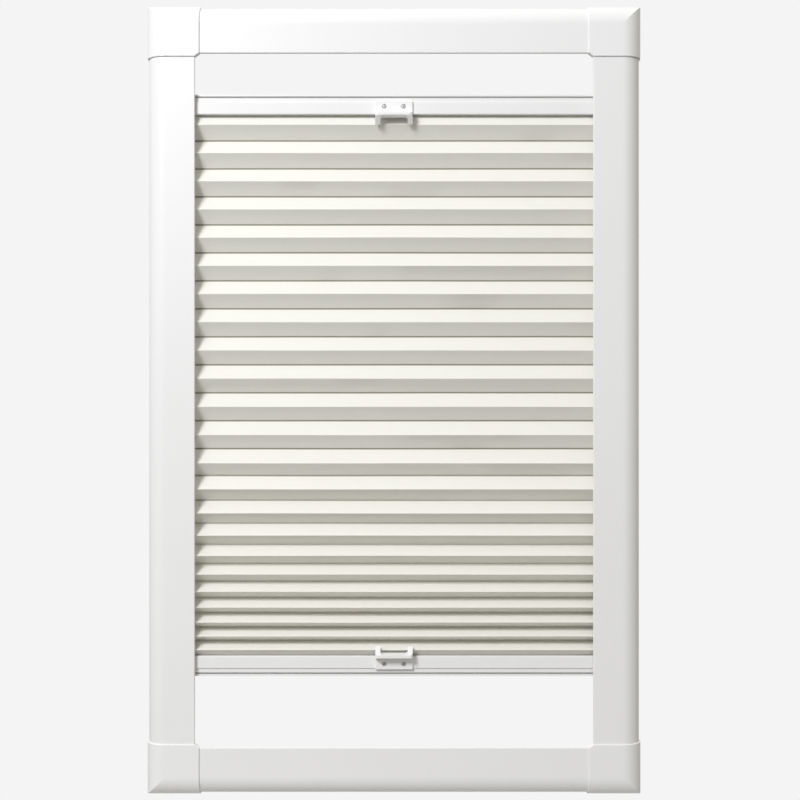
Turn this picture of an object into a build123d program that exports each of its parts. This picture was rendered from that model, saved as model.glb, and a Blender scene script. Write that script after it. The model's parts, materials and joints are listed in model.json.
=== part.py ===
"""Framed pleated blind for a roof window.

A flat frame of four rounded aluminium profiles carries one sheet of pleated cloth between two
operating rails. Each rail slides in the channels of the two side profiles and stays where it is
put, because a sprung brake in the slider at each of its ends rubs along the channel. Sizes are in
millimetres. X runs to the right seen from the room, Z runs up, and the front faces -Y. The origin is
the centre of the back face, which is also the centre of the four sash screws.
"""

import math
import os

from build123d import *

# ---------------------------------------------------------------- frame, overall
opening_width = 399.0  # clear width between the side profiles
opening_height = 695.0  # clear height between the top and bottom profiles
profile_width = 48.0  # face width of every profile
frame_depth = 27.0  # back face to the flat front of the profiles
flat_face_width = 30.0  # flat part of a profile's face, next to the opening
outer_wall_height = 10.0  # straight outer wall, below the rounded edge

# ---------------------------------------------------------------- cover and base profiles
cover_wall = 1.4
lip_depth = 3.4  # inner lip of a cover, in front of the rails' sliders
cover_edge_round = 0.7  # between the flat face and the inner lip
cover_gap = 0.1  # clearance between a cover and the base that it clips on
base_plate = 1.8  # back plate of every base profile
base_wall = 1.6  # legs and webs of the base profiles
base_flange = 1.4  # front flange, just behind the cover
side_plate_inset = 4.0  # the side plates start this far outside the opening, behind the rails' ends
channel_depth = 13.0  # slider channel, from the opening to its web
end_leg_inset = 6.5  # closing leg of the top and bottom base profiles, outside the opening
end_flange_width = 8.0  # front flange of the top and bottom base profiles
outer_leg_height = 7.0  # leg inside the cover's outer wall
butt_gap = 0.2  # between profiles that meet end to side

# ---------------------------------------------------------------- sash screws
sash_hole_radius = 2.2
sash_hole_inset = 45.0  # hole centres, in from the opening's top and bottom edges
sash_hole_offset = 30.0  # hole centres, out from the opening's side edges

# ---------------------------------------------------------------- corners
cap_proud = 1.5  # the caps stand this much proud of the covers
cap_clearance = 0.1  # between a cap and the covers under it
cap_over_end = 4.7  # overlap onto the top and bottom covers
cap_over_side = 3.5  # overlap onto the side covers
cap_skirt_depth = 6.0  # depth of the cap's slanted edge in the opening's corner
cap_edge_chamfer = 0.5
connector_plate = 5.0
connector_gap = 0.4  # clearance to the base profiles' legs
connector_reach = 34.0  # length that lies in the top or bottom base profile
stop_gap = 0.4  # between a stop and the channel's walls
stop_inset = 3.6  # a stop starts this far outside the opening, hidden behind the cover's lip
stop_over_edge = 5.5  # how far a stop reaches past the opening's edge
peg_radius = 2.9
peg_clearance = 0.05
peg_depth = 9.0  # length of a cap's peg inside the connector's boss
boss_radius = 5.5
boss_top_gap = 1.0  # from the boss to the cap above it
connector_screw_radius = 1.45
connector_screw_clearance = 0.05
connector_hole_radius = 1.6
connector_head_radius = 2.8
connector_head_height = 1.8
connector_screw_tip = 0.05  # the screws' tips end this far inside the base's back face
connector_screw_margin = 7.0  # screw centres, in from the connector's ends and sides

# ---------------------------------------------------------------- operating rails
upper_gap = 40.2  # opening's top edge to the upper rail
lower_gap = 70.6  # opening's bottom edge to the lower rail
rail_height = 20.0
rail_face_recess = 6.0  # rail face behind the frame's flat front
rail_back = 5.0  # rail's back, in front of the frame's back plane
rail_overlap = 3.0  # rail's end inside the side channel
rail_wall = 1.8
rail_round = 0.9  # rounded edge on the cloth side
rail_step_at = 12.0  # step in the face, from the cloth side
rail_step = 1.2
rail_slot_at = 16.5  # groove along the face, from the cloth side
rail_slot_width = 1.8
rail_slot_depth = 4.0
strip_neck = 2.4  # neck of the strip that holds the cloth
strip_head = 6.0
strip_head_thickness = 1.2
strip_clearance = 0.15
strip_end_gap = 1.0  # from the strip's ends to the sliders' tongues

# ---------------------------------------------------------------- sliders and brakes
slider_clearance = 0.4  # slider to the channel's front and back walls
slider_inset = 2.0  # slider head, in from the rail's two long edges
slider_length = 7.4  # length of the head outside the rail
slider_edge_round = 1.2
tongue_length = 18.0
tongue_clearance = 0.15
brake_thickness = 0.4
brake_rise = 1.8
brake_span = 13.0
brake_width = 10.0

# ---------------------------------------------------------------- handles
handle_width = 37.4
handle_plate = 2.2
plate_start = 0.4  # screw plate, from the rail's cloth side
plate_end = 12.9
ledge_reach = 11.5  # how far the ledge stands out from the rail's face
ledge_root = -4.4  # ledge's cloth side where it would meet the rail's face
ledge_tip = -2.6  # ledge's cloth side at its front edge
ledge_thickness = 2.7  # at its front edge
ledge_heel = 2.4  # ledge's other side where it meets the rail's face
ear_width = 5.0
ear_reach = 10.8  # ears' tips, past the rail's cloth side
ear_tip_thickness = 1.4
ear_standoff = 2.6  # from the rail's face to the back of the ears, clear of the folds
ear_root_round = 3.0
ledge_corner_round = 3.0
handle_edge_round = 0.4
handle_screw_spacing = 19.4
handle_screw_at = 7.5  # from the rail's cloth side
handle_screw_radius = 1.4
handle_head_radius = 1.9
handle_head_height = 1.1
handle_head_recess_radius = 2.4
handle_head_recess_depth = 1.4
handle_hole_clearance = 0.15
rail_hole_clearance = 0.05
handle_screw_length = 8.0
cross_recess_width = 0.5
cross_recess_reach = 1.1
cross_recess_depth = 0.5
head_round_share = 0.55  # share of a screw head's height that is rounded

# ---------------------------------------------------------------- pleated cloth
cloth_thickness = 0.3
fold_length = 19.0  # cloth from one fold to the next
height_per_pleat = 30.0  # one pleat is cut for this much of the opening's height
stacked_pleats = 10  # pleats that ease together above the lower rail
stacked_pitch = 13.5  # the closest pitch, at the lower rail
stacking_power = 1.5  # how the pitch eases from the hanging to the closest one
cloth_overlap = 3.5  # cloth edge inside the side channel
cloth_end_gap = 0.05  # from the cloth's end to the rail
cloth_end_run = 3.2  # extra cloth between a rail and the fold next to it
cloth_centre = 13.9  # middle of the folds, in front of the back plane

# ---------------------------------------------------------------- worked-out places
half_opening_width = opening_width / 2
half_opening_height = opening_height / 2
half_frame_width = half_opening_width + profile_width
half_frame_height = half_opening_height + profile_width
curve_width = profile_width - flat_face_width
curve_height = frame_depth - outer_wall_height
base_outer = profile_width - cover_wall - cover_gap
base_inner = cover_wall + cover_gap
base_front = frame_depth - cover_wall - cover_gap
channel_front = base_front - base_flange
rail_face = frame_depth - rail_face_recess
screw_seat = rail_face + handle_plate - handle_head_recess_depth
half_rail = half_opening_width + rail_overlap
upper_cloth_edge = half_opening_height - upper_gap - rail_height
lower_cloth_edge = -half_opening_height + lower_gap + rail_height
far_out = 4 * max(half_frame_width, half_frame_height)
past = 1.0  # how far a hole or a groove is cut past the faces that it opens

# A profile's section is drawn with its first axis out from the opening and its second axis forward.
right_section = Plane(origin=(half_opening_width, 0, 0), x_dir=(1, 0, 0), z_dir=(0, 0, -1))
top_section = Plane(origin=(0, 0, half_opening_height), x_dir=(0, 0, 1), z_dir=(1, 0, 0))
front_view = Plane(origin=(0, 0, 0), x_dir=(1, 0, 0), z_dir=(0, -1, 0))


def box(x0, x1, y0, y1):
    """A rectangle given by its two sides on each axis of its sketch."""
    return Pos((x0 + x1) / 2, (y0 + y1) / 2) * Rectangle(x1 - x0, y1 - y0)


def block(x0, x1, v0, v1, z0, z1):
    """A block given by its sides; v is the distance in front of the back plane."""
    centre = ((x0 + x1) / 2, -(v0 + v1) / 2, (z0 + z1) / 2)
    return Pos(centre) * Box(x1 - x0, v1 - v0, z1 - z0)


def rod(radius, x, z, v0, v1):
    """A cylinder that runs front to back."""
    return Pos(x, -(v0 + v1) / 2, z) * Rot(90, 0, 0) * Cylinder(radius, v1 - v0)


def along_z(section, plane, length):
    """A section drawn on a plane, run both ways from it."""
    return extrude(plane * section, amount=length / 2, both=True)


# ---------------------------------------------------------------- frame profiles
def profile_area(grow):
    """The rounded outline of a profile, grown or shrunk by the same amount all round."""
    face = box(0, flat_face_width, 0, frame_depth + grow)
    foot = box(0, profile_width + grow, 0, outer_wall_height)
    curve = Ellipse(curve_width + grow, curve_height + grow)
    outline = face + foot + Pos(flat_face_width, outer_wall_height) * curve
    return outline & box(0, profile_width + grow, 0, frame_depth + grow)


def cover_section():
    """A thin shell: inner lip, flat face, rounded edge and outer wall."""
    lip = box(0, cover_wall, frame_depth - lip_depth, frame_depth - cover_wall / 2)
    shell = profile_area(0) - profile_area(-cover_wall) + lip
    edge = shell.vertices().group_by(Axis.Y)[-1].sort_by(Axis.X)[0]
    return fillet(edge, cover_edge_round)


def side_base_section():
    """Back plate, slider channel and the outer leg that the cover clips on."""
    plate = box(side_plate_inset, base_outer, 0, base_plate)
    web = box(channel_depth, channel_depth + base_wall, 0, base_front)
    flange = box(base_inner, channel_depth + base_wall, channel_front, base_front)
    leg = box(base_outer - base_wall, base_outer, 0, outer_leg_height)
    return plate + web + flange + leg


def end_base_section():
    """Back plate, closing leg set back from the cover's lip, and the outer leg."""
    plate = box(end_leg_inset, base_outer, 0, base_plate)
    closing_leg = box(end_leg_inset, end_leg_inset + base_wall, 0, base_front)
    flange = box(base_inner, base_inner + end_flange_width, channel_front, base_front)
    leg = box(base_outer - base_wall, base_outer, 0, outer_leg_height)
    return plate + closing_leg + flange + leg


def side_cover():
    return along_z(cover_section(), right_section, opening_height)


def end_cover():
    return along_z(cover_section(), top_section, opening_width)


sash_hole_x = half_opening_width + sash_hole_offset
sash_hole_z = half_opening_height - sash_hole_inset


def side_base():
    """The channel stops at the opening's corners; the plate and outer leg run on under the caps."""
    base = along_z(side_base_section(), right_section, 2 * (half_opening_height + base_outer))
    x0 = half_opening_width - butt_gap
    x1 = half_opening_width + base_outer - base_wall
    for side in (-1, 1):
        z0, z1 = sorted((side * half_opening_height, side * far_out))
        base -= block(x0, x1, base_plate, far_out, z0, z1)
        base -= rod(sash_hole_radius, sash_hole_x, side * sash_hole_z, -past, base_plate + past)
        for x, z in connector_screw_places():
            if x > half_opening_width:
                base -= rod(screw_way, x, side * z, -past, base_plate + past)
    return base


def end_base():
    base = along_z(end_base_section(), top_section, opening_width - 2 * butt_gap)
    for side in (-1, 1):
        for x, z in connector_screw_places():
            if x < half_opening_width:
                base -= rod(screw_way, side * x, z, -past, base_plate + past)
    return base


# ---------------------------------------------------------------- corners
screw_way = connector_screw_radius + connector_screw_clearance
connector_x0 = half_opening_width - butt_gap - connector_reach
connector_x1 = half_opening_width + base_outer - base_wall - connector_gap
connector_z0 = half_opening_height + end_leg_inset + base_wall + connector_gap
connector_z1 = half_opening_height + base_outer - base_wall - connector_gap
peg_x = half_opening_width + flat_face_width - peg_radius
peg_z = half_opening_height + flat_face_width - peg_radius
boss_top = frame_depth - boss_top_gap


def connector_screw_places():
    """Two screws in each of the two base profiles that a corner connector joins."""
    xs = (connector_x0 + connector_screw_margin, connector_x1 - connector_screw_margin)
    zs = (connector_z0 + connector_screw_margin, connector_z1 - connector_screw_margin)
    return [(x, z) for x in xs for z in zs]


def corner_connector():
    """A plate across the corner, with a stop for the rail and a boss for the cap's peg."""
    front = base_plate + connector_plate
    plate = block(connector_x0, connector_x1, base_plate, front, connector_z0, connector_z1)
    stop = block(
        half_opening_width + stop_inset,
        half_opening_width + channel_depth - stop_gap,
        base_plate + stop_gap,
        channel_front - stop_gap,
        half_opening_height - stop_over_edge,
        connector_z0 + connector_plate,
    )
    boss = rod(boss_radius, peg_x, peg_z, base_plate, boss_top)
    peg_way = rod(peg_radius + peg_clearance, peg_x, peg_z, boss_top - peg_depth - past, boss_top + past)
    connector = plate + stop + boss - peg_way
    for x, z in connector_screw_places():
        connector -= rod(connector_hole_radius, x, z, base_plate - past, front + past)
    return connector


def screw_head(radius, height, x, z, seat):
    """A pan head: a disc with a rounded front rim."""
    head = rod(radius, x, z, seat, seat + height)
    rim = head.edges().filter_by(GeomType.CIRCLE).sort_by(Axis.Y)[0]
    return fillet(rim, height * head_round_share)


def connector_screws():
    """Pan-head screws through each connector into the base profiles, at all four corners."""
    front = base_plate + connector_plate
    corner = []
    for x, z in connector_screw_places():
        head = screw_head(connector_head_radius, connector_head_height, x, z, front)
        corner.append(head + rod(connector_screw_radius, x, z, connector_screw_tip, front))
    return Compound(children=[s for screw in corner for s in four_corners(screw)])


def four_corners(piece):
    """A piece of the top right corner, then the top left, bottom right and bottom left ones."""
    half_turn = Rot(0, 180, 0) * piece
    return [piece, mirror(piece, Plane.YZ), mirror(piece, Plane.XY), half_turn]


def corner_cap():
    """A moulded shell over the corner, with a slanted edge where it turns into the opening."""
    x0 = half_opening_width - cap_over_end
    z0 = half_opening_height - cap_over_side
    outline = Polyline(
        (x0, half_opening_height),
        (half_opening_width, z0),
        (far_out, z0),
        (far_out, far_out),
        (x0, far_out),
        close=True,
    )
    tower = extrude(front_view * make_face(outline), amount=frame_depth + cap_proud)
    skin = cap_skin(cap_proud) & tower
    cut_faces = skin.faces().filter_by(lambda f: faces_the_opening(f))
    rims = [e for f in cut_faces for e in f.edges() if e.center().Y < -outer_wall_height / 2]
    skin = chamfer([e for e in rims if not runs_front_to_back(e)], cap_edge_chamfer)
    skin -= cap_skin(cap_clearance) & tower
    skirt = slanted_skirt(x0, z0)
    peg = rod(peg_radius, peg_x, peg_z, boss_top - peg_depth, frame_depth + cap_proud / 2)
    return skin + skirt + peg


def faces_the_opening(face):
    """True for the flat ends of a cap, which look along its two covers or slant between them."""
    normal = face.normal_at(face.center())
    return face.geom_type == GeomType.PLANE and normal.X + normal.Z < -0.5


def runs_front_to_back(edge):
    return abs(edge.tangent_at(0.5).Y) > 0.99 and edge.geom_type == GeomType.LINE


def cap_skin(grow):
    """The mitred corner, run on past the opening's edges so that the cap can overlap the covers."""
    over = max(cap_over_end, cap_over_side) + cap_proud
    upright = along_z(overlapping_area(grow, over), right_section, 2 * far_out)
    level = along_z(overlapping_area(grow, over), top_section, 2 * far_out)
    return upright & level


def overlapping_area(grow, over):
    return profile_area(grow) + box(-over, past, 0, frame_depth + grow)


def slanted_skirt(x0, z0):
    """The wall under the cap's slanted edge, closing the gap to the covers' lips."""
    edge = Polyline(
        (x0, half_opening_height),
        (half_opening_width, z0),
        (half_opening_width, half_opening_height),
        close=True,
    )
    skirt = extrude(front_view * make_face(edge), amount=cap_skirt_depth + cap_proud / 2)
    return Pos(0, -(frame_depth - cap_skirt_depth), 0) * skirt


# ---------------------------------------------------------------- operating rails
# A rail's section is drawn for the upper rail: its first axis up from the cloth side.
upper_rail_section = Plane(origin=(0, 0, upper_cloth_edge), x_dir=(0, 0, 1), z_dir=(1, 0, 0))
cavity_front = rail_face - rail_wall
cavity_back = rail_back + rail_wall
cavity_end = rail_step_at - rail_wall
strip_neck_back = cloth_centre - strip_neck / 2
strip_neck_front = cloth_centre + strip_neck / 2
strip_head_back = cloth_centre - strip_head / 2
strip_head_front = cloth_centre + strip_head / 2


def rail_outline():
    """Rounded edge, face, step, band, groove and lip, then the flat back."""
    band = rail_face - rail_step
    rounded = box(0, rail_step_at, rail_back, rail_face)
    rounded = fillet(rounded.vertices().sort_by(Axis.Y)[-2:].sort_by(Axis.X)[0], rail_round)
    rest = box(rail_step_at - past, rail_height, rail_back, band)
    groove = box(rail_slot_at, rail_slot_at + rail_slot_width, band - rail_slot_depth, band + past)
    return rounded + rest - groove


def rail():
    """The rail's outline with a cavity for the strip and tongues, a second one and two screw holes."""
    half_wall = rail_wall / 2
    behind_slot = rail_face - rail_step - rail_slot_depth - half_wall
    section = rail_outline()
    section -= box(rail_wall, cavity_end, cavity_back, cavity_front)
    section -= box(rail_step_at, rail_slot_at - half_wall, cavity_back, behind_slot)
    neck_back = strip_neck_back - strip_clearance
    section -= box(-past, rail_wall + past, neck_back, strip_neck_front + strip_clearance)
    profile = along_z(section, upper_rail_section, 2 * half_rail)
    hole_radius = handle_screw_radius + rail_hole_clearance
    for x in handle_screw_xs():
        profile -= rod(hole_radius, x, handle_screw_z(), cavity_front - past, rail_face + past)
    return profile


def cloth_strip():
    """The strip that is glued to the cloth's end and slides into the rail."""
    neck = box(0, rail_wall + strip_clearance, strip_neck_back, strip_neck_front)
    head_start = rail_wall + strip_clearance
    head = box(head_start, head_start + strip_head_thickness, strip_head_back, strip_head_front)
    return along_z(neck + head, upper_rail_section, 2 * (half_rail - tongue_length - strip_end_gap))


def slider():
    """A moulded head that runs in the side channel, on a tongue pushed into the rail's end."""
    z0 = upper_cloth_edge + slider_inset
    z1 = upper_cloth_edge + rail_height - slider_inset
    v0 = base_plate + slider_clearance
    v1 = channel_front - slider_clearance
    head = block(half_rail, half_rail + slider_length, v0, v1, z0, z1)
    head = fillet(head.edges().filter_by(Axis.X), slider_edge_round)
    tongue_z0 = upper_cloth_edge + rail_wall + strip_head_thickness + 3 * strip_clearance
    tongue_z1 = upper_cloth_edge + cavity_end - tongue_clearance
    tongue = block(
        half_rail - tongue_length,
        half_rail + slider_length / 2,
        cavity_back + tongue_clearance,
        cavity_front - tongue_clearance,
        tongue_z0,
        tongue_z1,
    )
    return head + tongue


def brake_spring():
    """A bowed leaf on the slider's outer face that rubs on the channel's web."""
    foot = half_rail + slider_length
    middle = upper_cloth_edge + rail_height / 2
    top = foot + brake_rise
    reach = brake_span / 2
    outer_reach = reach + brake_thickness
    inner = ThreePointArc((foot, -reach), (top - brake_thickness, 0), (foot, reach))
    outer = ThreePointArc((foot, outer_reach), (top, 0), (foot, -outer_reach))
    ends = [Line(inner @ 1, outer @ 0), Line(outer @ 1, inner @ 0)]
    leaf = make_face([inner, ends[0], outer, ends[1]])
    centre = (base_plate + channel_front) / 2
    return Pos(0, -centre, middle) * extrude(front_view * leaf, amount=brake_width / 2, both=True)


def handle_screw_xs():
    return (-handle_screw_spacing / 2, handle_screw_spacing / 2)


def handle_screw_z():
    return upper_cloth_edge + handle_screw_at


def handle():
    """One moulding: screw plate, ledge to push on, and an ear at each end that guards the cloth."""
    front = rail_face + ledge_reach
    half_width = handle_width / 2
    section = Polyline(
        (ledge_tip + ledge_thickness, front),
        (ledge_tip, front),
        (-ear_reach, rail_face + ear_standoff + ear_tip_thickness),
        (-ear_reach, rail_face + ear_standoff),
        (plate_start, rail_face + ear_standoff),
        (plate_start, rail_face),
        (ledge_heel, rail_face),
        close=True,
    )
    shelf = along_z(make_face(section), upper_rail_section, handle_width)
    shelf = fillet(shelf.edges().filter_by(Axis.Z).group_by(Axis.Y)[0], ledge_corner_round)
    finger_gap = slanted_gap(handle_width / 2 - ear_width)
    plate = block(
        -half_width,
        half_width,
        rail_face,
        rail_face + handle_plate,
        upper_cloth_edge + plate_start,
        upper_cloth_edge + plate_end,
    )
    plate = fillet(plate.edges().group_by(Axis.Y)[0], handle_edge_round)
    body = shelf - finger_gap + plate
    hole_radius = handle_screw_radius + handle_hole_clearance
    for x in handle_screw_xs():
        z = handle_screw_z()
        body -= rod(handle_head_recess_radius, x, z, screw_seat, rail_face + handle_plate + past)
        body -= rod(hole_radius, x, z, rail_face - past, screw_seat + past)
    return body


def slanted_gap(half_gap):
    """The space between the ears, cut along the ledge's sloping cloth side."""
    rise = ledge_tip - ledge_root
    root = ledge_root - rise * past / ledge_reach
    outline = box(-half_gap, half_gap, root - 2 * ear_reach, root)
    outline = fillet(outline.vertices().group_by(Axis.Y)[-1], ear_root_round)
    slope = Vector(0, -ledge_reach, rise)
    length = slope.length * (ledge_reach + 2 * past) / ledge_reach
    gap = extrude(front_view * outline, amount=length, dir=slope.normalized())
    return Pos(0, past - rail_face, upper_cloth_edge) * gap


def handle_screws():
    """Two pan-head screws with a cross recess, set in the plate's counterbores."""
    top = screw_seat + handle_head_height
    half_width = cross_recess_width / 2
    z = handle_screw_z()
    screws = []
    for x in handle_screw_xs():
        screw = screw_head(handle_head_radius, handle_head_height, x, z, screw_seat)
        screw += rod(handle_screw_radius, x, z, screw_seat - handle_screw_length, screw_seat)
        for wide, tall in ((cross_recess_reach, half_width), (half_width, cross_recess_reach)):
            screw -= block(x - wide, x + wide, top - cross_recess_depth, top + past, z - tall, z + tall)
        screws.append(screw)
    return screws


# ---------------------------------------------------------------- pleated cloth
def half_pitches():
    """The height from each fold to the next, from the upper rail down to the lower one.

    The pleats hang evenly at the top, and the lowest ones ease together on the lower rail. Next to
    each rail, half a fold and a short run of cloth end in the rail's strip.
    """
    pleats = round(opening_height / height_per_pleat)
    even = pleats - 1 - stacked_pleats
    eased = [(1 - (k + 1) / stacked_pleats) ** stacking_power for k in range(stacked_pleats)]
    shares = [1.0] * even + eased
    cloth_height = upper_cloth_edge - lower_cloth_edge - 2 * (cloth_end_gap + cloth_end_run)
    end_share = 0.25  # a quarter of a pleat at each rail
    closest = stacked_pitch * (len(shares) - sum(shares) + end_share)
    hanging_pitch = (cloth_height - closest) / (sum(shares) + end_share)
    pitches = [stacked_pitch + (hanging_pitch - stacked_pitch) * share for share in shares]
    return [pitch / 2 for pitch in pitches for _ in range(2)]


def fold_points():
    """Each fold as its height, its place front to back, and the cloth's reach there along that way."""
    halves = half_pitches()
    leans = [halves[0], *halves, halves[-1]]
    drops = [halves[0] / 2 + cloth_end_run, *halves]
    height = upper_cloth_edge - cloth_end_gap
    points = [(height, cloth_centre, end_reach(halves[0]))]
    for index, drop in enumerate(drops):
        height -= drop
        here = (leans[index] + leans[index + 1]) / 2
        depth = math.sqrt(fold_length**2 - here**2)
        side = 1 if index % 2 == 0 else -1
        points.append((height, cloth_centre + side * depth / 2, end_reach(here)))
    height -= halves[-1] / 2 + cloth_end_run
    points.append((height, cloth_centre, end_reach(halves[-1])))
    return points


def end_reach(half_pitch):
    """Half the cloth's thickness, measured front to back across a fold that leans."""
    return cloth_thickness / 2 * fold_length / half_pitch


def pleated_cloth():
    points = fold_points()
    front = [(z - upper_cloth_edge, v + reach) for z, v, reach in points]
    back = [(z - upper_cloth_edge, v - reach) for z, v, reach in reversed(points)]
    section = make_face(Polyline(*front, *back, close=True))
    return along_z(section, upper_rail_section, 2 * (half_opening_width + cloth_overlap))


# ---------------------------------------------------------------- all pieces
def turned_over(piece):
    """The upper rail's piece, turned upside down by half a turn and set on the lower rail."""
    return Pos(0, 0, upper_cloth_edge + lower_cloth_edge) * Rot(0, 180, 0) * piece


def rail_pieces(prefix, place, right, left):
    """The eight pieces of one rail; place puts a piece of the upper rail where this rail is."""
    return {
        f"{prefix}_rail": place(rail()),
        f"{prefix}_cloth_strip": place(cloth_strip()),
        f"{prefix}_{right}_slider": place(slider()),
        f"{prefix}_{left}_slider": place(mirror(slider(), Plane.YZ)),
        f"{prefix}_{right}_brake_spring": place(brake_spring()),
        f"{prefix}_{left}_brake_spring": place(mirror(brake_spring(), Plane.YZ)),
        f"{prefix}_handle": place(handle()),
        f"{prefix}_handle_screws": Compound(children=[place(screw) for screw in handle_screws()]),
    }


def frame_pieces():
    pieces = {
        "right_cover_profile": side_cover(),
        "left_cover_profile": mirror(side_cover(), Plane.YZ),
        "top_cover_profile": end_cover(),
        "bottom_cover_profile": mirror(end_cover(), Plane.XY),
        "right_base_profile": side_base(),
        "left_base_profile": mirror(side_base(), Plane.YZ),
        "top_base_profile": end_base(),
        "bottom_base_profile": mirror(end_base(), Plane.XY),
        "connector_screws": connector_screws(),
        "pleated_cloth": pleated_cloth(),
    }
    corners = ("top_right", "top_left", "bottom_right", "bottom_left")
    for corner, cap in zip(corners, four_corners(corner_cap())):
        pieces[f"{corner}_corner_cap"] = cap
    for corner, connector in zip(corners, four_corners(corner_connector())):
        pieces[f"{corner}_corner_connector"] = connector
    return pieces


pieces = frame_pieces()
pieces.update(rail_pieces("upper", lambda piece: piece, "right", "left"))
pieces.update(rail_pieces("lower", turned_over, "left", "right"))

os.makedirs("parts", exist_ok=True)
for name, piece in pieces.items():
    export_step(piece, f"parts/{name}.step")
    print(name, f"{piece.volume:.1f} mm3")

folds = fold_points()
cloth_run = sum(math.dist(a[:2], b[:2]) for a, b in zip(folds, folds[1:]))
print(f"cloth: {2 * (half_opening_width + cloth_overlap):.1f} wide, {cloth_run:.1f} long when flat")
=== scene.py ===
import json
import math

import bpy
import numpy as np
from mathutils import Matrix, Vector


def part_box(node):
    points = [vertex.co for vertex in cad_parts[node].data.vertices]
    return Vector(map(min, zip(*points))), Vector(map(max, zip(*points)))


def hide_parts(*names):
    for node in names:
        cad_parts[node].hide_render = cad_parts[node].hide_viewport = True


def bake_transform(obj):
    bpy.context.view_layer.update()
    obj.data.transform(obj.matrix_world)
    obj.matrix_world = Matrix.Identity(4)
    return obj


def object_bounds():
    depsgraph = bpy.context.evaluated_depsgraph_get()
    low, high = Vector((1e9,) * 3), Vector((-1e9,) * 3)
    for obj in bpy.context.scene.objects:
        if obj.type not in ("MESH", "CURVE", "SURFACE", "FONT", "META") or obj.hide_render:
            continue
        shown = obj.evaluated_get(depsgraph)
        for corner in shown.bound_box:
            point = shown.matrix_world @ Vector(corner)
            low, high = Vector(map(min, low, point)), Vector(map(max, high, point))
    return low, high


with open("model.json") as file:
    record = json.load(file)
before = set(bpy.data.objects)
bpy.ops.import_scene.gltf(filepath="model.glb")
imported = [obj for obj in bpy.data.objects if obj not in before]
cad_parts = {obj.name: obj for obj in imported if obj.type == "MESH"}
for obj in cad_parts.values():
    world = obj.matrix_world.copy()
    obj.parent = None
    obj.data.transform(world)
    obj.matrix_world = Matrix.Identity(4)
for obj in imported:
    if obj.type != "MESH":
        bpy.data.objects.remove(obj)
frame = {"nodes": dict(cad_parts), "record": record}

# %% [markdown]
# # A framed pleated blind
#
# The blind is a flat white frame with one sheet of pleated cloth between two sliding rails.
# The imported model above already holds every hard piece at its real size, so this lesson adds what a
# builder's model leaves out: the finish of each surface, and the cloth with its real folds.
# Everything is in metres. X runs right, Z runs up, and the front of the blind faces -Y.

packed_low, packed_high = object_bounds()
centre = (packed_low + packed_high) / 2
print("packed model:", [round(v, 4) for v in (packed_high - packed_low)])

# %% [markdown]
# ## Camera
#
# The blind is seen straight from the front, from about a metre and a half away, a little to the
# right of its middle. A camera that looks along +Y without any shift gives upright lines that stay
# upright. The lens follows from one choice: how much of the blind's plane fills the frame.

# %% Camera
CAMERA_DISTANCE = 1.4
VIEW_WIDTH = 0.8
CAMERA_SIDE_STEP = 0.006
CAMERA_HEIGHT = 0.0004
SENSOR_WIDTH = 36.0

camera_data = bpy.data.cameras.new("front_camera")
camera_data.sensor_width = SENSOR_WIDTH
camera_data.lens = SENSOR_WIDTH * CAMERA_DISTANCE / VIEW_WIDTH
camera = bpy.data.objects.new("front_camera", camera_data)
bpy.context.scene.collection.objects.link(camera)
profile_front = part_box("right_cover_profile")[0][1]
camera.location = (CAMERA_SIDE_STEP, profile_front - CAMERA_DISTANCE, CAMERA_HEIGHT)
camera.rotation_euler = (math.radians(90), 0, 0)
bpy.context.scene.camera = camera
print("lens:", round(camera_data.lens, 1), "mm")

# %% [markdown]
# ## Light and floor
#
# White things need gentle light: one large key light from the upper left gives every pleat a bright
# and a dark side, and an even pale surround fills the shadows. The Standard view keeps white paint
# white. The floor lies well below the blind, out of the front view, and catches its shadow when the
# blind is looked at from above.

# %% Surround
SEEN_COLOUR = (0.905, 0.905, 0.905)
FILL_COLOUR = (1.0, 0.985, 0.94)
FILL_FRONT = 0.46
FILL_BEHIND = 0.8
FILL_BELOW = 0.1
FILL_ABOVE = 1.5

scene = bpy.context.scene
scene.view_settings.view_transform = "Standard"
world = bpy.data.worlds.new("pale_surround")
scene.world = world
world.use_nodes = True
world_nodes = world.node_tree.nodes
world_nodes.clear()
seen = world_nodes.new("ShaderNodeBackground")
seen.inputs["Color"].default_value = (*SEEN_COLOUR, 1)
fill = world_nodes.new("ShaderNodeBackground")
fill.inputs["Color"].default_value = (*FILL_COLOUR, 1)
path = world_nodes.new("ShaderNodeLightPath")
pick = world_nodes.new("ShaderNodeMixShader")
world_out = world_nodes.new("ShaderNodeOutputWorld")
world.node_tree.links.new(path.outputs["Is Camera Ray"], pick.inputs["Fac"])
world.node_tree.links.new(fill.outputs[0], pick.inputs[1])
world.node_tree.links.new(seen.outputs[0], pick.inputs[2])
world.node_tree.links.new(pick.outputs[0], world_out.inputs["Surface"])

# %% [markdown]
# In a white room the wall behind the blind and the ceiling are bright, while the side the camera is
# on and the ground are dimmer. The surround's strength follows the direction it is looked at in.

# %% A Math node, for this and every later tree
def math_node(tree, operation, *operands, clamp=False):
    """A Math node; each operand is a number or a socket."""
    node = tree.nodes.new("ShaderNodeMath")
    node.operation = operation
    node.use_clamp = clamp
    for index, value in enumerate(operands):
        if isinstance(value, (int, float)):
            node.inputs[index].default_value = value
        else:
            tree.links.new(value, node.inputs[index])
    return node.outputs[0]


# %% A surround that is brightest behind and above
BEHIND_SLOPE = -1.6
BELOW_SLOPE = 2.0
EDGE_SHARE = 0.1


def direction_part(slope, share_at_edge, axis):
    """A share from 0 to 1 that grows as the direction turns along one axis."""
    return math_node(world.node_tree, "MULTIPLY_ADD", axis, slope, share_at_edge, clamp=True)


def between(low, high, share):
    """A strength from low to high, by a share."""
    return math_node(world.node_tree, "MULTIPLY_ADD", share, high - low, low)


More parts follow.
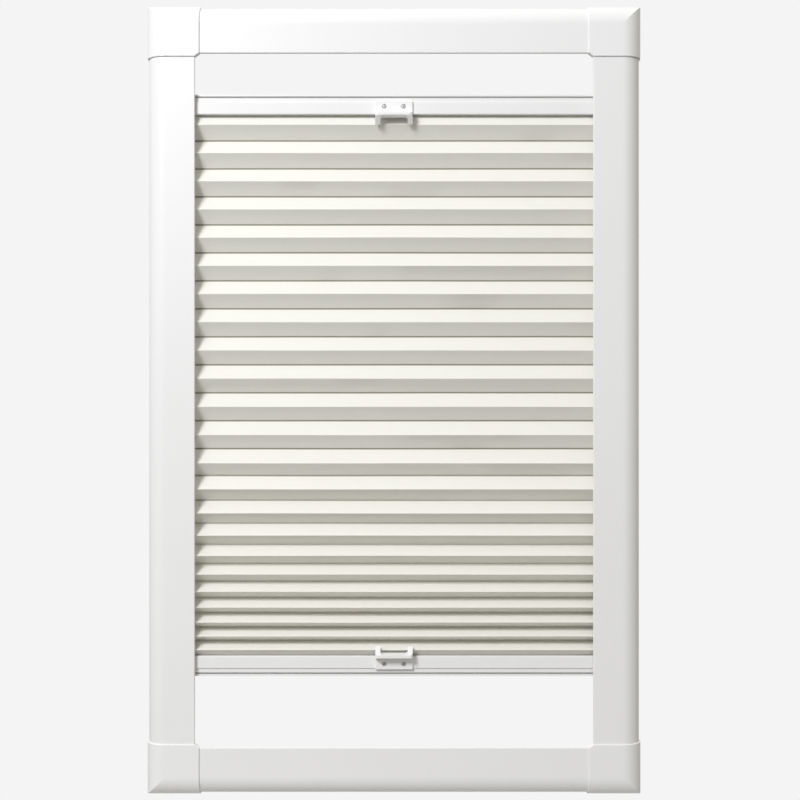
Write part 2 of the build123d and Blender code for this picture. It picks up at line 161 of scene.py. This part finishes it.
towards = world_nodes.new("ShaderNodeNewGeometry").outputs["Incoming"]
split = world_nodes.new("ShaderNodeSeparateXYZ")
world.node_tree.links.new(towards, split.inputs[0])
behind = direction_part(BEHIND_SLOPE, EDGE_SHARE, split.outputs["Y"])
below = direction_part(BELOW_SLOPE, EDGE_SHARE, split.outputs["Z"])
above = direction_part(-1.0, 0.0, split.outputs["Z"])
level = between(FILL_FRONT, FILL_BEHIND, behind)
upright = math_node(
    world.node_tree, "MULTIPLY", between(1.0, FILL_BELOW, below), between(1.0, FILL_ABOVE, above)
)
strength = math_node(world.node_tree, "MULTIPLY", level, upright)
world.node_tree.links.new(strength, fill.inputs["Strength"])

# %% Key light
KEY_PLACE = Vector((-0.95, -1.75, 1.22))
KEY_SIZE = 0.7
KEY_POWER = 38.0
KEY_COLOUR = (0.975, 0.99, 1.04)

key_data = bpy.data.lights.new("key_light", "AREA")
key_data.shape = "DISK"
key_data.size = KEY_SIZE
key_data.energy = KEY_POWER
key_data.color = KEY_COLOUR
key = bpy.data.objects.new("key_light", key_data)
scene.collection.objects.link(key)
key.location = centre + KEY_PLACE
key.rotation_mode = "QUATERNION"
key.rotation_quaternion = (-KEY_PLACE).to_track_quat("-Z", "Y")
print("key light at", [round(v, 2) for v in key.location])

# %% Floor
FLOOR_DROP = 0.7
FLOOR_HALF_SIZE = 1.0
FLOOR_COLOUR = (0.6, 0.6, 0.59)
FLOOR_ROUGHNESS = 0.9

floor_z = packed_low.z - FLOOR_DROP
corners = [(x, y, floor_z) for x, y in ((-1, -1), (1, -1), (1, 1), (-1, 1))]
floor_mesh = bpy.data.meshes.new("pale_floor")
floor_mesh.from_pydata(
    [(x * FLOOR_HALF_SIZE, y * FLOOR_HALF_SIZE, z) for x, y, z in corners], [], [(0, 1, 2, 3)]
)
floor = bpy.data.objects.new("pale_floor", floor_mesh)
scene.collection.objects.link(floor)
floor_paper = bpy.data.materials.new("floor_paper")
floor_paper.use_nodes = True
floor_shader = floor_paper.node_tree.nodes["Principled BSDF"]
floor_shader.inputs["Base Color"].default_value = (*FLOOR_COLOUR, 1)
floor_shader.inputs["Roughness"].default_value = FLOOR_ROUGHNESS
floor_mesh.materials.append(floor_paper)

# %% [markdown]
# ## Shared effects
#
# Powder coating, moulded plastic and zinc plate all have a fine surface that is never quite even.
# For the coat and the plastics the effect is the same noise at different sizes, so it is one node
# group with its own inputs, placed in each of their materials with that material's values. It gives a
# height for a Bump node and a mask that shifts colour and roughness a little. The zinc plate has
# scratches of its own instead.

# %% Node group: fine grain
def add_group(name, inputs, outputs):
    """A shader node group with named float inputs and outputs."""
    group = bpy.data.node_groups.new(name, "ShaderNodeTree")
    for socket_name, default in inputs:
        socket = group.interface.new_socket(
            socket_name, in_out="INPUT", socket_type="NodeSocketFloat"
        )
        socket.default_value = default
    for socket_name in outputs:
        group.interface.new_socket(socket_name, in_out="OUTPUT", socket_type="NodeSocketFloat")
    return group, group.nodes.new("NodeGroupInput"), group.nodes.new("NodeGroupOutput")


def noise_node(tree, vector, scale, detail=2.0, roughness=0.5):
    """A Noise texture's value, from -0.5 to 0.5 about its middle."""
    node = tree.nodes.new("ShaderNodeTexNoise")
    node.inputs["Detail"].default_value = detail
    node.inputs["Roughness"].default_value = roughness
    tree.links.new(vector, node.inputs["Vector"])
    if isinstance(scale, (int, float)):
        node.inputs["Scale"].default_value = scale
    else:
        tree.links.new(scale, node.inputs["Scale"])
    return math_node(tree, "SUBTRACT", node.outputs["Fac"], 0.5)


def make_grain_group():
    """Fine grain for the bump, and broad soft clouds for colour and roughness."""
    group, inside, outside = add_group(
        "fine_grain", [("Grain scale", 900.0), ("Cloud scale", 9.0)], ["Grain", "Clouds"]
    )
    place = group.nodes.new("ShaderNodeTexCoord").outputs["Object"]
    grain = noise_node(group, place, inside.outputs["Grain scale"], detail=3.0, roughness=0.6)
    clouds = noise_node(group, place, inside.outputs["Cloud scale"], detail=4.0, roughness=0.55)
    group.links.new(math_node(group, "ADD", grain, 0.5), outside.inputs["Grain"])
    group.links.new(math_node(group, "ADD", clouds, 0.5), outside.inputs["Clouds"])
    return group


fine_grain = make_grain_group()
print("groups:", [g.name for g in bpy.data.node_groups])

# %% [markdown]
# ## Materials
#
# Each finish starts from one helper that makes a material with a Principled shader. Values that are
# the same all over sit on the shader's own sockets. What varies over the surface is linked.

# %% A material with its own shader
def new_material(name, colour, roughness, **sockets):
    """A material with a Principled shader; sockets are further even values by name."""
    material = bpy.data.materials.new(name)
    material.use_nodes = True
    shader = material.node_tree.nodes["Principled BSDF"]
    shader.inputs["Base Color"].default_value = (*colour, 1)
    shader.inputs["Roughness"].default_value = roughness
    for socket, value in sockets.items():
        shader.inputs[socket.replace("_", " ")].default_value = value
    return material, material.node_tree, shader


def place_grain(tree, grain_scale, cloud_scale):
    node = tree.nodes.new("ShaderNodeGroup")
    node.node_tree = fine_grain
    node.inputs["Grain scale"].default_value = grain_scale
    node.inputs["Cloud scale"].default_value = cloud_scale
    return node.outputs["Grain"], node.outputs["Clouds"]


def vary(tree, shader, mask, low, high, rough_low, rough_high):
    """Colour and roughness that drift between two near values where the mask drifts."""
    mix = tree.nodes.new("ShaderNodeMix")
    mix.data_type = "RGBA"
    mix.inputs["A"].default_value = (*low, 1)
    mix.inputs["B"].default_value = (*high, 1)
    tree.links.new(mask, mix.inputs["Factor"])
    tree.links.new(mix.outputs["Result"], shader.inputs["Base Color"])
    spread = math_node(tree, "MULTIPLY", mask, rough_high - rough_low)
    tree.links.new(math_node(tree, "ADD", spread, rough_low), shader.inputs["Roughness"])


def bump(tree, shader, height, strength, distance):
    node = tree.nodes.new("ShaderNodeBump")
    node.inputs["Strength"].default_value = strength
    node.inputs["Distance"].default_value = distance
    tree.links.new(height, node.inputs["Height"])
    tree.links.new(node.outputs["Normal"], shader.inputs["Normal"])


# %% [markdown]
# ### Powder-coated aluminium
#
# The profiles and rails are aluminium under a white powder coat. Powder melts into a skin with a
# faint orange-peel ripple about half a millimetre across, satin rather than glossy.

# %% Powder coat
COAT_DARK = (0.86, 0.855, 0.84)
COAT_LIGHT = (0.885, 0.88, 0.87)


def make_powder_coat():
    material, tree, shader = new_material("powder_coat", COAT_LIGHT, 0.42)
    grain, clouds = place_grain(tree, grain_scale=1500.0, cloud_scale=7.0)
    vary(tree, shader, clouds, COAT_DARK, COAT_LIGHT, rough_low=0.36, rough_high=0.46)
    bump(tree, shader, grain, strength=0.12, distance=0.0002)
    return material


powder_coat = make_powder_coat()

# %% [markdown]
# ### Moulded plastic
#
# Caps and handles are white mouldings, a touch cooler and smoother than the coat. The pieces that
# stay inside the frame are greyer and duller, because nobody polishes their mould.

# %% Plastics
def make_plastic(name, low, high, rough, grain_strength):
    material, tree, shader = new_material(name, low, rough)
    grain, clouds = place_grain(tree, grain_scale=2600.0, cloud_scale=14.0)
    vary(tree, shader, clouds, low, high, rough - 0.04, rough + 0.05)
    bump(tree, shader, grain, grain_strength, distance=0.0001)
    return material


white_plastic = make_plastic(
    "white_moulding", (0.875, 0.872, 0.862), (0.90, 0.895, 0.885), rough=0.36, grain_strength=0.08
)
inner_plastic = make_plastic(
    "inner_moulding", (0.66, 0.66, 0.65), (0.72, 0.72, 0.71), rough=0.55, grain_strength=0.2
)

# %% [markdown]
# ### Steel
#
# Strip steel and plated screws are metal with fine scratches in one direction. Noise stretched
# along one axis draws them: a Mapping node makes the scale across the grain much finer.

# %% Steel
SCRATCH_STRETCH = (1.0, 1.0, 0.06)
SCRATCH_SCALE = 5000.0


def make_steel(name, low, high, rough):
    material, tree, shader = new_material(name, low, rough, Metallic=1.0)
    place = tree.nodes.new("ShaderNodeTexCoord").outputs["Object"]
    stretch = tree.nodes.new("ShaderNodeMapping")
    stretch.inputs["Scale"].default_value = SCRATCH_STRETCH
    tree.links.new(place, stretch.inputs["Vector"])
    streaks = noise_node(tree, stretch.outputs["Vector"], SCRATCH_SCALE, detail=3.0)
    mask = math_node(tree, "ADD", streaks, 0.5)
    vary(tree, shader, mask, low, high, rough - 0.08, rough + 0.12)
    bump(tree, shader, mask, strength=0.15, distance=0.00005)
    return material


spring_steel = make_steel("spring_strip", (0.55, 0.55, 0.56), (0.68, 0.68, 0.69), 0.3)
zinc_plate = make_steel("zinc_plate", (0.58, 0.58, 0.57), (0.70, 0.70, 0.68), 0.32)

# %% Give each CAD node its finish
FINISH_BY_SLOT = {
    "coated_aluminium": powder_coat,
    "white_plastic": white_plastic,
    "inner_plastic": inner_plastic,
    "spring_steel": spring_steel,
    "screw_steel": zinc_plate,
}
for part in frame["record"]["subparts"]:
    finish = FINISH_BY_SLOT.get(part["material_slot"])
    if finish is None:
        continue
    mesh = frame["nodes"][part["node"]].data
    mesh.materials.clear()
    mesh.materials.append(finish)

# %% [markdown]
# ## The pleated cloth
#
# The cloth is one strip, pressed into sharp folds every 19 mm and hung so that it opens like an
# accordion. It could be modelled by hand, row by row, but every fold follows the same rule, so
# Geometry Nodes can draw it: a line of points, one for each fold, each dropped below the last by
# half a pleat and moved to the front or the back by what is left of the fold's length. The pleats
# hang evenly at the top and ease together near the lower rail.
#
# The rails move apart and together, so the cloth is two pieces, cut in the middle of one fold: the
# upper one by the upper rail and the lower one by the lower rail, meeting at the fold where the cloth
# would stand still.

# %% The cloth's sizes
FOLD_LENGTH = 0.019
PLEATS = 23
EASED_PLEATS = 10
CLOSEST_PITCH = 0.0135
EASING_POWER = 1.5
END_RUN = 0.0032
END_SHARE = 0.25
CLOTH_THICKNESS = 0.0003

cloth_low, cloth_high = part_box("pleated_cloth")
cloth_width = cloth_high.x - cloth_low.x
cloth_middle = (cloth_low.y + cloth_high.y) / 2
even_pleats = PLEATS - 1 - EASED_PLEATS
shares = [1.0] * even_pleats
shares += [(1 - (k + 1) / EASED_PLEATS) ** EASING_POWER for k in range(EASED_PLEATS)]
free_height = cloth_high.z - cloth_low.z - 2 * END_RUN
closest_height = CLOSEST_PITCH * (len(shares) - sum(shares) + END_SHARE)
hanging_pitch = (free_height - closest_height) / (sum(shares) + END_SHARE)
print("hanging pitch:", round(hanging_pitch * 1000, 2), "mm, width:", round(cloth_width, 4))


def fold_depth(pitch):
    """How deep the folds are, front to back, where the pleats have this pitch."""
    return math.sqrt(FOLD_LENGTH**2 - (pitch / 2) ** 2)


def end_length(pitch):
    """The cloth from a rail to the first fold."""
    return math.hypot(pitch / 4 + END_RUN, fold_depth(pitch) / 2)


first_fold_at = end_length(hanging_pitch)

# %% [markdown]
# ### The node tree
#
# A tree made in a script is a list of nodes and links, so a few short helpers keep it readable. The
# tree's sizes are inputs with names, and a modifier sets them by each input's identifier.

# %% Helpers for a geometry tree
def new_tree(name, inputs):
    """An empty geometry tree with named inputs, each given as its name, socket type and default."""
    tree = bpy.data.node_groups.new(name, "GeometryNodeTree")
    tree.interface.new_socket("Geometry", in_out="OUTPUT", socket_type="NodeSocketGeometry")
    for socket_name, kind, default in inputs:
        socket = tree.interface.new_socket(socket_name, in_out="INPUT", socket_type=kind)
        if default is not None:
            socket.default_value = default
    return tree, tree.nodes.new("NodeGroupInput").outputs, tree.nodes.new("NodeGroupOutput").inputs


def add_node(tree, kind, values=None, **settings):
    """A node with its settings made and its inputs filled, each by a value or a linked socket."""
    node = tree.nodes.new(kind)
    for setting, value in settings.items():
        setattr(node, setting, value)
    for socket_name, value in (values or {}).items():
        matches = [s for s in node.inputs if s.identifier == socket_name]
        socket = matches[0] if matches else node.inputs[socket_name]
        if isinstance(value, bpy.types.NodeSocket):
            tree.links.new(value, socket)
        else:
            socket.default_value = value
    return node


def combine(tree, x=0.0, y=0.0, z=0.0):
    return add_node(tree, "ShaderNodeCombineXYZ", {"X": x, "Y": y, "Z": z}).outputs[0]


def vector_math(tree, operation, a, b):
    values = {"Vector": a, "Vector_001": b}
    return add_node(tree, "ShaderNodeVectorMath", values, operation=operation).outputs[0]


# %% The height of half a pleat, at any fold
def half_pleat(tree, given, fold):
    """Half the pitch below a fold: even at first, then eased towards the closest pitch."""
    last = math_node(tree, "SUBTRACT", given["Folds"], 2.0)
    fold = math_node(tree, "MINIMUM", math_node(tree, "MAXIMUM", fold, 0.0), last)
    pleat = math_node(tree, "FLOOR", math_node(tree, "MULTIPLY", fold, 0.5))
    last_even = math_node(tree, "SUBTRACT", given["Even pleats"], 1.0)
    into = math_node(tree, "SUBTRACT", pleat, last_even)
    part = math_node(tree, "DIVIDE", into, given["Eased pleats"], clamp=True)
    share = math_node(tree, "POWER", math_node(tree, "SUBTRACT", 1.0, part), given["Easing"])
    spread = math_node(tree, "SUBTRACT", given["Hanging pitch"], given["Closest pitch"])
    pitch = math_node(tree, "MULTIPLY_ADD", spread, share, given["Closest pitch"])
    return math_node(tree, "MULTIPLY", pitch, 0.5)


# %% Where each fold is
def same(tree, a, b):
    """1 where two whole numbers are the same, 0 elsewhere."""
    return math_node(tree, "COMPARE", a, b, 0.5)


def fold_places(tree, given):
    """Each point's place in the YZ plane; the first and last points are the ends in the rails."""
    index = add_node(tree, "GeometryNodeInputIndex").outputs[0]
    fold = math_node(tree, "SUBTRACT", index, 1.0)
    below = half_pleat(tree, given, fold)
    above = half_pleat(tree, given, math_node(tree, "SUBTRACT", fold, 1.0))
    first = same(tree, index, 0.0)
    next_to_last = same(tree, index, given["Folds"])
    last = same(tree, index, math_node(tree, "ADD", given["Folds"], 1.0))
    beside_rail = math_node(tree, "ADD", first, next_to_last)
    whole = math_node(tree, "SUBTRACT", 1.0, math_node(tree, "MULTIPLY", beside_rail, 0.5))
    run = math_node(tree, "MULTIPLY", beside_rail, given["End run"])
    drop = math_node(tree, "ADD", math_node(tree, "MULTIPLY", below, whole), run)
    fallen = add_node(tree, "GeometryNodeAccumulateField", {"Value": drop}).outputs["Trailing"]
    height = math_node(tree, "SUBTRACT", given["Top"], fallen)
    half = math_node(tree, "MULTIPLY", math_node(tree, "ADD", above, below), 0.5)
    squares = math_node(
        tree,
        "SUBTRACT",
        math_node(tree, "POWER", given["Fold length"], 2.0),
        math_node(tree, "POWER", half, 2.0),
    )
    depth = math_node(tree, "MULTIPLY", math_node(tree, "SQRT", squares), 0.5)
    free = math_node(tree, "SUBTRACT", 1.0, math_node(tree, "ADD", first, last))
    depth = math_node(tree, "MULTIPLY", depth, free)
    odd = math_node(tree, "MODULO", index, 2.0)
    side = math_node(tree, "SUBTRACT", 1.0, math_node(tree, "MULTIPLY", odd, 2.0))
    place = math_node(tree, "ADD", given["Middle"], math_node(tree, "MULTIPLY", side, depth))
    return combine(tree, y=place, z=height)


# %% [markdown]
# ### From points to cloth
#
# The points become a line, the line's corners get a small radius, and a straight profile as wide as
# the cloth is swept along it. Two captured values go along: how far across the cloth a point is,
# and how far along. Together they are the cloth's own UV map in metres, so a weave can follow each
# fold. Pressed folds are never dead straight, so a soft noise moves them by a fraction of a
# millimetre.

# %% The cloth's tree
CLOTH_INPUTS = [
    ("Folds", "NodeSocketInt", 45),
    ("Even pleats", "NodeSocketInt", 12),
    ("Eased pleats", "NodeSocketInt", 10),
    ("Easing", "NodeSocketFloat", 1.5),
    ("Hanging pitch", "NodeSocketFloat", 0.028),
    ("Closest pitch", "NodeSocketFloat", 0.0135),
    ("Fold length", "NodeSocketFloat", 0.019),
    ("End run", "NodeSocketFloat", 0.003),
    ("Top", "NodeSocketFloat", 0.28),
    ("Middle", "NodeSocketFloat", -0.014),
    ("Width", "NodeSocketFloat", 0.4),
    ("Columns", "NodeSocketInt", 25),
    ("Crease radius", "NodeSocketFloat", 0.0003),
    ("Waviness", "NodeSocketFloat", 0.0006),
    ("Cut from", "NodeSocketFloat", 0.0),
    ("Cut to", "NodeSocketFloat", 1.0),
    ("Material", "NodeSocketMaterial", None),
]


def captured(tree, geometry, value, name):
    """Keeps a value on a geometry's points, so that it can be read after the shape has changed."""
    node = tree.nodes.new("GeometryNodeCaptureAttribute")
    node.capture_items.new("FLOAT", name)
    tree.links.new(geometry, node.inputs["Geometry"])
    tree.links.new(value, node.inputs[name])
    return node.outputs["Geometry"], node.outputs[name]


def make_cloth_tree():
    tree, given, out = new_tree("pleated_cloth", CLOTH_INPUTS)
    count = math_node(tree, "ADD", given["Folds"], 2.0)
    line = add_node(tree, "GeometryNodeMeshLine", {"Count": count})
    placed = add_node(
        tree,
        "GeometryNodeSetPosition",
        {"Geometry": line.outputs[0], "Position": fold_places(tree, given)},
    )
    strand = add_node(tree, "GeometryNodeMeshToCurve", {"Mesh": placed.outputs[0]}).outputs[0]
    run = add_node(tree, "GeometryNodeSplineParameter").outputs["Length"]
    strand, along = captured(tree, strand, run, "along")
    cut = add_node(
        tree,
        "GeometryNodeTrimCurve",
        {"Curve": strand, "Start_001": given["Cut from"], "End_001": given["Cut to"]},
        mode="LENGTH",
    ).outputs[0]
    soft = add_node(
        tree,
        "GeometryNodeFilletCurve",
        {"Curve": cut, "Count": 3, "Radius": given["Crease radius"], "Limit Radius": True},
        mode="POLY",
    ).outputs[0]
    across_profile, across = cloth_profile(tree, given)
    sheet = add_node(
        tree, "GeometryNodeCurveToMesh", {"Curve": soft, "Profile Curve": across_profile}
    ).outputs[0]
    sheet = store_uv(tree, sheet, across, along)
    sheet = add_waves(tree, sheet, along, given)
    real = add_node(tree, "GeometryNodeRealizeInstances", {"Geometry": sheet}).outputs[0]
    done = add_node(
        tree, "GeometryNodeSetMaterial", {"Geometry": real, "Material": given["Material"]}
    )
    tree.links.new(done.outputs[0], out[0])
    return tree


# %% Profile, UV map and waves
WAVE_SCALE = (5.0, 0.0, 60.0)
NOISE_MIDDLE = (0.5, 0.5, 0.5)
WAVE_FADE = 40.0


def cloth_profile(tree, given):
    """A straight line as wide as the cloth, with points enough for it to wave."""
    half = math_node(tree, "MULTIPLY", given["Width"], 0.5)
    start = combine(tree, x=math_node(tree, "MULTIPLY", half, -1.0))
    line = add_node(
        tree, "GeometryNodeCurvePrimitiveLine", {"Start": start, "End": combine(tree, x=half)}
    )
    points = add_node(
        tree, "GeometryNodeResampleCurve", {"Curve": line.outputs[0], "Count": given["Columns"]}
    )
    place = add_node(tree, "GeometryNodeInputPosition").outputs[0]
    x = add_node(tree, "ShaderNodeSeparateXYZ", {"Vector": place}).outputs["X"]
    return captured(tree, points.outputs[0], x, "across")


def store_uv(tree, geometry, across, along):
    return add_node(
        tree,
        "GeometryNodeStoreNamedAttribute",
        {"Geometry": geometry, "Name": CLOTH_UV, "Value": combine(tree, x=across, y=along)},
        data_type="FLOAT2",
        domain="CORNER",
    ).outputs[0]


def add_waves(tree, geometry, along, given):
    """Small soft offsets that fade out at the rails; they differ from fold to fold."""
    place = add_node(tree, "GeometryNodeInputPosition").outputs[0]
    stretch = vector_math(tree, "MULTIPLY", place, WAVE_SCALE)
    noise = add_node(
        tree, "ShaderNodeTexNoise", {"Vector": stretch, "Scale": 1.0, "Detail": 1.0}
    ).outputs["Color"]
    centred = vector_math(tree, "SUBTRACT", noise, NOISE_MIDDLE)
    total = math_node(tree, "MULTIPLY", given["Folds"], given["Fold length"])
    left = math_node(tree, "SUBTRACT", total, along)
    near = math_node(tree, "MINIMUM", along, left)
    fade = math_node(tree, "MULTIPLY", near, WAVE_FADE, clamp=True)
    size = math_node(tree, "MULTIPLY", fade, given["Waviness"])
    shift = vector_math(tree, "MULTIPLY", centred, combine(tree, y=size, z=size))
    return add_node(
        tree, "GeometryNodeSetPosition", {"Geometry": geometry, "Offset": shift}
    ).outputs[0]


CLOTH_UV = "cloth_uv"
cloth_tree = make_cloth_tree()
print("cloth tree:", len(cloth_tree.nodes), "nodes")

# %% [markdown]
# ### The weave
#
# The cloth is a plain weave of fine polyester yarn: each thread goes over one and under the next.
# In UV metres that is two sine waves, one for each direction of thread, and a chequer that says
# which thread is on top. A noise stretched along the threads makes some of them a little thicker.

# %% Node group: plain weave
SLUB_STRETCH = (1.0, 40.0, 1.0)
# The width of the painted shade line along each back fold.
CREASE_SHADE_WIDTH = 0.0016


# Besides the weave, the group gives a mask of painted shade along the back fold lines.
def make_weave_group():
    group, inside, outside = add_group(
        "plain_weave",
        [("Threads per metre", 2400.0), ("Slub scale", 60.0)],
        ["Height", "Slubs", "Painted crease shade"],
    )
    uv = add_node(group, "ShaderNodeUVMap", uv_map=CLOTH_UV).outputs[0]
    parts = add_node(group, "ShaderNodeSeparateXYZ", {"Vector": uv}).outputs
    threads = inside.outputs["Threads per metre"]
    warp = math_node(group, "MULTIPLY", parts["X"], threads)
    weft = math_node(group, "MULTIPLY", parts["Y"], threads)
    warp_round, weft_round = (thread_height(group, t) for t in (warp, weft))
    squares = math_node(
        group, "ADD", math_node(group, "FLOOR", warp), math_node(group, "FLOOR", weft)
    )
    over = math_node(group, "ABSOLUTE", math_node(group, "MODULO", squares, 2.0))
    under = math_node(group, "SUBTRACT", 1.0, over)
    top = math_node(
        group,
        "ADD",
        math_node(group, "MULTIPLY", over, warp_round),
        math_node(group, "MULTIPLY", under, weft_round),
    )
    group.links.new(top, outside.inputs["Height"])
    stretched = vector_math(group, "MULTIPLY", uv, SLUB_STRETCH)
    slubs = noise_node(group, stretched, inside.outputs["Slub scale"], detail=2.0)
    group.links.new(math_node(group, "ADD", slubs, 0.5), outside.inputs["Slubs"])
    group.links.new(painted_crease_shade(group, parts["Y"]), outside.inputs["Painted crease shade"])
    return group


def thread_height(group, threads):
    """How far a thread's round top stands up: 1 at its middle, 0 between two threads."""
    turn = math_node(group, "MULTIPLY", threads, math.pi)
    return math_node(group, "ABSOLUTE", math_node(group, "SINE", turn))


def painted_crease_shade(group, along):
    """Painted shade along each fold line at the back: 1 on the line, 0 beside it; fades out where the
    pleats close up.
    """
    past_first = math_node(group, "SUBTRACT", along, first_fold_at)
    pairs = math_node(group, "DIVIDE", past_first, 2 * FOLD_LENGTH)
    halfway = math_node(group, "FRACT", pairs)
    off = math_node(group, "ABSOLUTE", math_node(group, "SUBTRACT", halfway, 0.5))
    away = math_node(group, "MULTIPLY", off, 2 * FOLD_LENGTH / CREASE_SHADE_WIDTH)
    line = math_node(group, "SUBTRACT", 1.0, away, clamp=True)
    into_close = math_node(group, "SUBTRACT", along, even_pleats * 2 * FOLD_LENGTH)
    closing = math_node(group, "DIVIDE", into_close, EASED_PLEATS * FOLD_LENGTH, clamp=True)
    return math_node(group, "MULTIPLY", line, math_node(group, "SUBTRACT", 1.0, closing))


plain_weave = make_weave_group()

# %% Cloth material
CLOTH_SHADE = (0.80, 0.785, 0.715)
CLOTH_LIGHT = (0.885, 0.875, 0.815)
# CREASE_SHADE is painted shade: the dark colour drawn along each back fold, where shade falls in the
# crease.
CREASE_SHADE = (0.26, 0.235, 0.165)


def make_cloth_material():
    material, tree, shader = new_material("pleated_polyester", CLOTH_LIGHT, 0.8)
    shader.inputs["Sheen Weight"].default_value = 0.12
    shader.inputs["Sheen Roughness"].default_value = 0.4
    shader.inputs["Specular IOR Level"].default_value = 0.3
    weave = add_node(
        tree,
        "ShaderNodeGroup",
        {"Threads per metre": 2400.0, "Slub scale": 60.0},
        node_tree=plain_weave,
    ).outputs
    lifted = math_node(tree, "MULTIPLY", weave["Height"], 0.55)
    tone = math_node(tree, "ADD", lifted, math_node(tree, "MULTIPLY", weave["Slubs"], 0.45))
    outside_crease_shade = math_node(tree, "SUBTRACT", 1.0, weave["Painted crease shade"], clamp=True)
    vary(tree, shader, tone, CLOTH_SHADE, CLOTH_LIGHT, 0.74, 0.88)
    plain = shader.inputs["Base Color"].links[0].from_socket
    # Painted shade: the back fold lines are darkened towards CREASE_SHADE.
    crease_shaded = add_node(
        tree, "ShaderNodeMix", {"A_Color": (*CREASE_SHADE, 1), "B_Color": plain}, data_type="RGBA"
    )
    tree.links.new(outside_crease_shade, crease_shaded.inputs["Factor"])
    tree.links.new(crease_shaded.outputs["Result"], shader.inputs["Base Color"])
    bump(tree, shader, tone, strength=0.35, distance=0.0002)
    return material


pleated_polyester = make_cloth_material()

# %% [markdown]
# ### Two pieces from one tree
#
# Each piece runs the same tree and keeps its own stretch of the cloth. The modifier's inputs are
# set by identifier before the object is first evaluated, a Solidify modifier gives the thickness,
# and the evaluated result is kept as a plain mesh.

# %% Run the tree and keep its mesh
SHARP_ANGLE = math.radians(15)


def plain_mesh_object(name, tree, values):
    """Runs a geometry tree with these named inputs and keeps its result as a plain mesh object."""
    source = bpy.data.objects.new(name, bpy.data.meshes.new(name))
    scene.collection.objects.link(source)
    modifier = source.modifiers.new("tree", "NODES")
    modifier.node_group = tree
    for item in tree.interface.items_tree:
        if item.in_out == "INPUT" and item.name in values:
            modifier[item.identifier] = values[item.name]
    wall = source.modifiers.new("thickness", "SOLIDIFY")
    wall.thickness = CLOTH_THICKNESS
    wall.offset = 0.0
    wall.use_even_offset = True
    evaluated = source.evaluated_get(bpy.context.evaluated_depsgraph_get())
    mesh = bpy.data.meshes.new_from_object(evaluated)
    bpy.data.objects.remove(source)
    piece = bpy.data.objects.new(name, mesh)
    scene.collection.objects.link(piece)
    mesh.name = name
    mesh.shade_smooth()
    mesh.set_sharp_from_angle(angle=SHARP_ANGLE)
    return piece


# %% Both pieces of cloth
CREASE_RADIUS = 0.0003
WAVINESS = 0.0007
UPPER_FOLDS = 19

folds = 2 * len(shares) + 1
cloth_length = first_fold_at + (folds - 1) * FOLD_LENGTH + end_length(CLOSEST_PITCH)
cut_at = first_fold_at + (UPPER_FOLDS - 0.5) * FOLD_LENGTH
print("cloth length:", round(cloth_length, 4), "m, cut at", round(cut_at, 4), "m")
cloth_sizes = {
    "Folds": folds,
    "Even pleats": even_pleats,
    "Eased pleats": EASED_PLEATS,
    "Easing": EASING_POWER,
    "Hanging pitch": hanging_pitch,
    "Closest pitch": CLOSEST_PITCH,
    "Fold length": FOLD_LENGTH,
    "End run": END_RUN,
    "Top": cloth_high.z,
    "Middle": cloth_middle,
    "Width": cloth_width,
    "Crease radius": CREASE_RADIUS,
    "Waviness": WAVINESS,
    "Material": pleated_polyester,
}
upper_cloth = plain_mesh_object(
    "upper_pleated_cloth", cloth_tree, {**cloth_sizes, "Cut from": 0.0, "Cut to": cut_at}
)
lower_cloth = plain_mesh_object(
    "lower_pleated_cloth",
    cloth_tree,
    {**cloth_sizes, "Cut from": cut_at, "Cut to": 2 * cloth_length},
)
for piece in (upper_cloth, lower_cloth):
    heights = [v.co.z for v in piece.data.vertices]
    reach = [round(z, 4) for z in (min(heights), max(heights))]
    print(piece.name, len(piece.data.polygons), "faces, z", reach)

# %% [markdown]
# ### How the cloth moves
#
# Each point gets a share, from 0 where the two pieces meet to 1 at its rail. All points close to one
# fold get the same share, so that a crease would keep its thickness when the cloth is gathered and
# only the faces between the creases would close up. The shares are worked out here but not stored.

# %% Work out each piece's share between the frame and its rail
CREASE_REACH = 0.0011


def fold_heights():
    """Where each fold lies along the cloth, and its height."""
    halves = [(CLOSEST_PITCH + (hanging_pitch - CLOSEST_PITCH) * share) / 2 for share in shares]
    drops = [halves[0] / 2 + END_RUN] + [half for half in halves for _ in range(2)]
    heights = cloth_high.z - np.cumsum(drops)
    return first_fold_at + FOLD_LENGTH * np.arange(len(heights)), heights


def height_before_bending(piece):
    """Each point's height if creases were flat: level near a fold, even between two folds."""
    mesh = piece.data
    corner_points = np.empty(len(mesh.loops), dtype=np.int32)
    mesh.loops.foreach_get("vertex_index", corner_points)
    uv = np.empty(2 * len(mesh.loops), dtype=np.float32)
    mesh.attributes[CLOTH_UV].data.foreach_get("vector", uv)
    along = np.empty(len(mesh.vertices), dtype=np.float32)
    along[corner_points] = uv[1::2]
    places, heights = fold_heights()
    knots = np.ravel(np.column_stack((places - CREASE_REACH, places + CREASE_REACH)))
    knots = np.concatenate(([0.0], knots, [cloth_length]))
    levels = np.concatenate(([cloth_high.z], np.repeat(heights, 2), [cloth_low.z]))
    return np.interp(along, knots, levels)


def hang_between(piece, still_z, rail_z):
    """Works out each point's share between the standing frame and its rail, in proportion to height;
    the shares are not kept.
    """
    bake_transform(piece)
    share = (height_before_bending(piece) - still_z) / (rail_z - still_z)
    share = np.clip(share, 0, 1).astype(np.float32)


still_z = float(np.mean(fold_heights()[1][UPPER_FOLDS - 1:UPPER_FOLDS + 1]))
print("the cloth stands still at z", round(still_z, 4))
hang_between(upper_cloth, still_z, cloth_high.z)
hang_between(lower_cloth, still_z, cloth_low.z)
lengths = {upper_cloth: cut_at, lower_cloth: cloth_length - cut_at}
for piece, length in lengths.items():
    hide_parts("pleated_cloth")
    print(piece.name, "cut length:", round(length, 3))
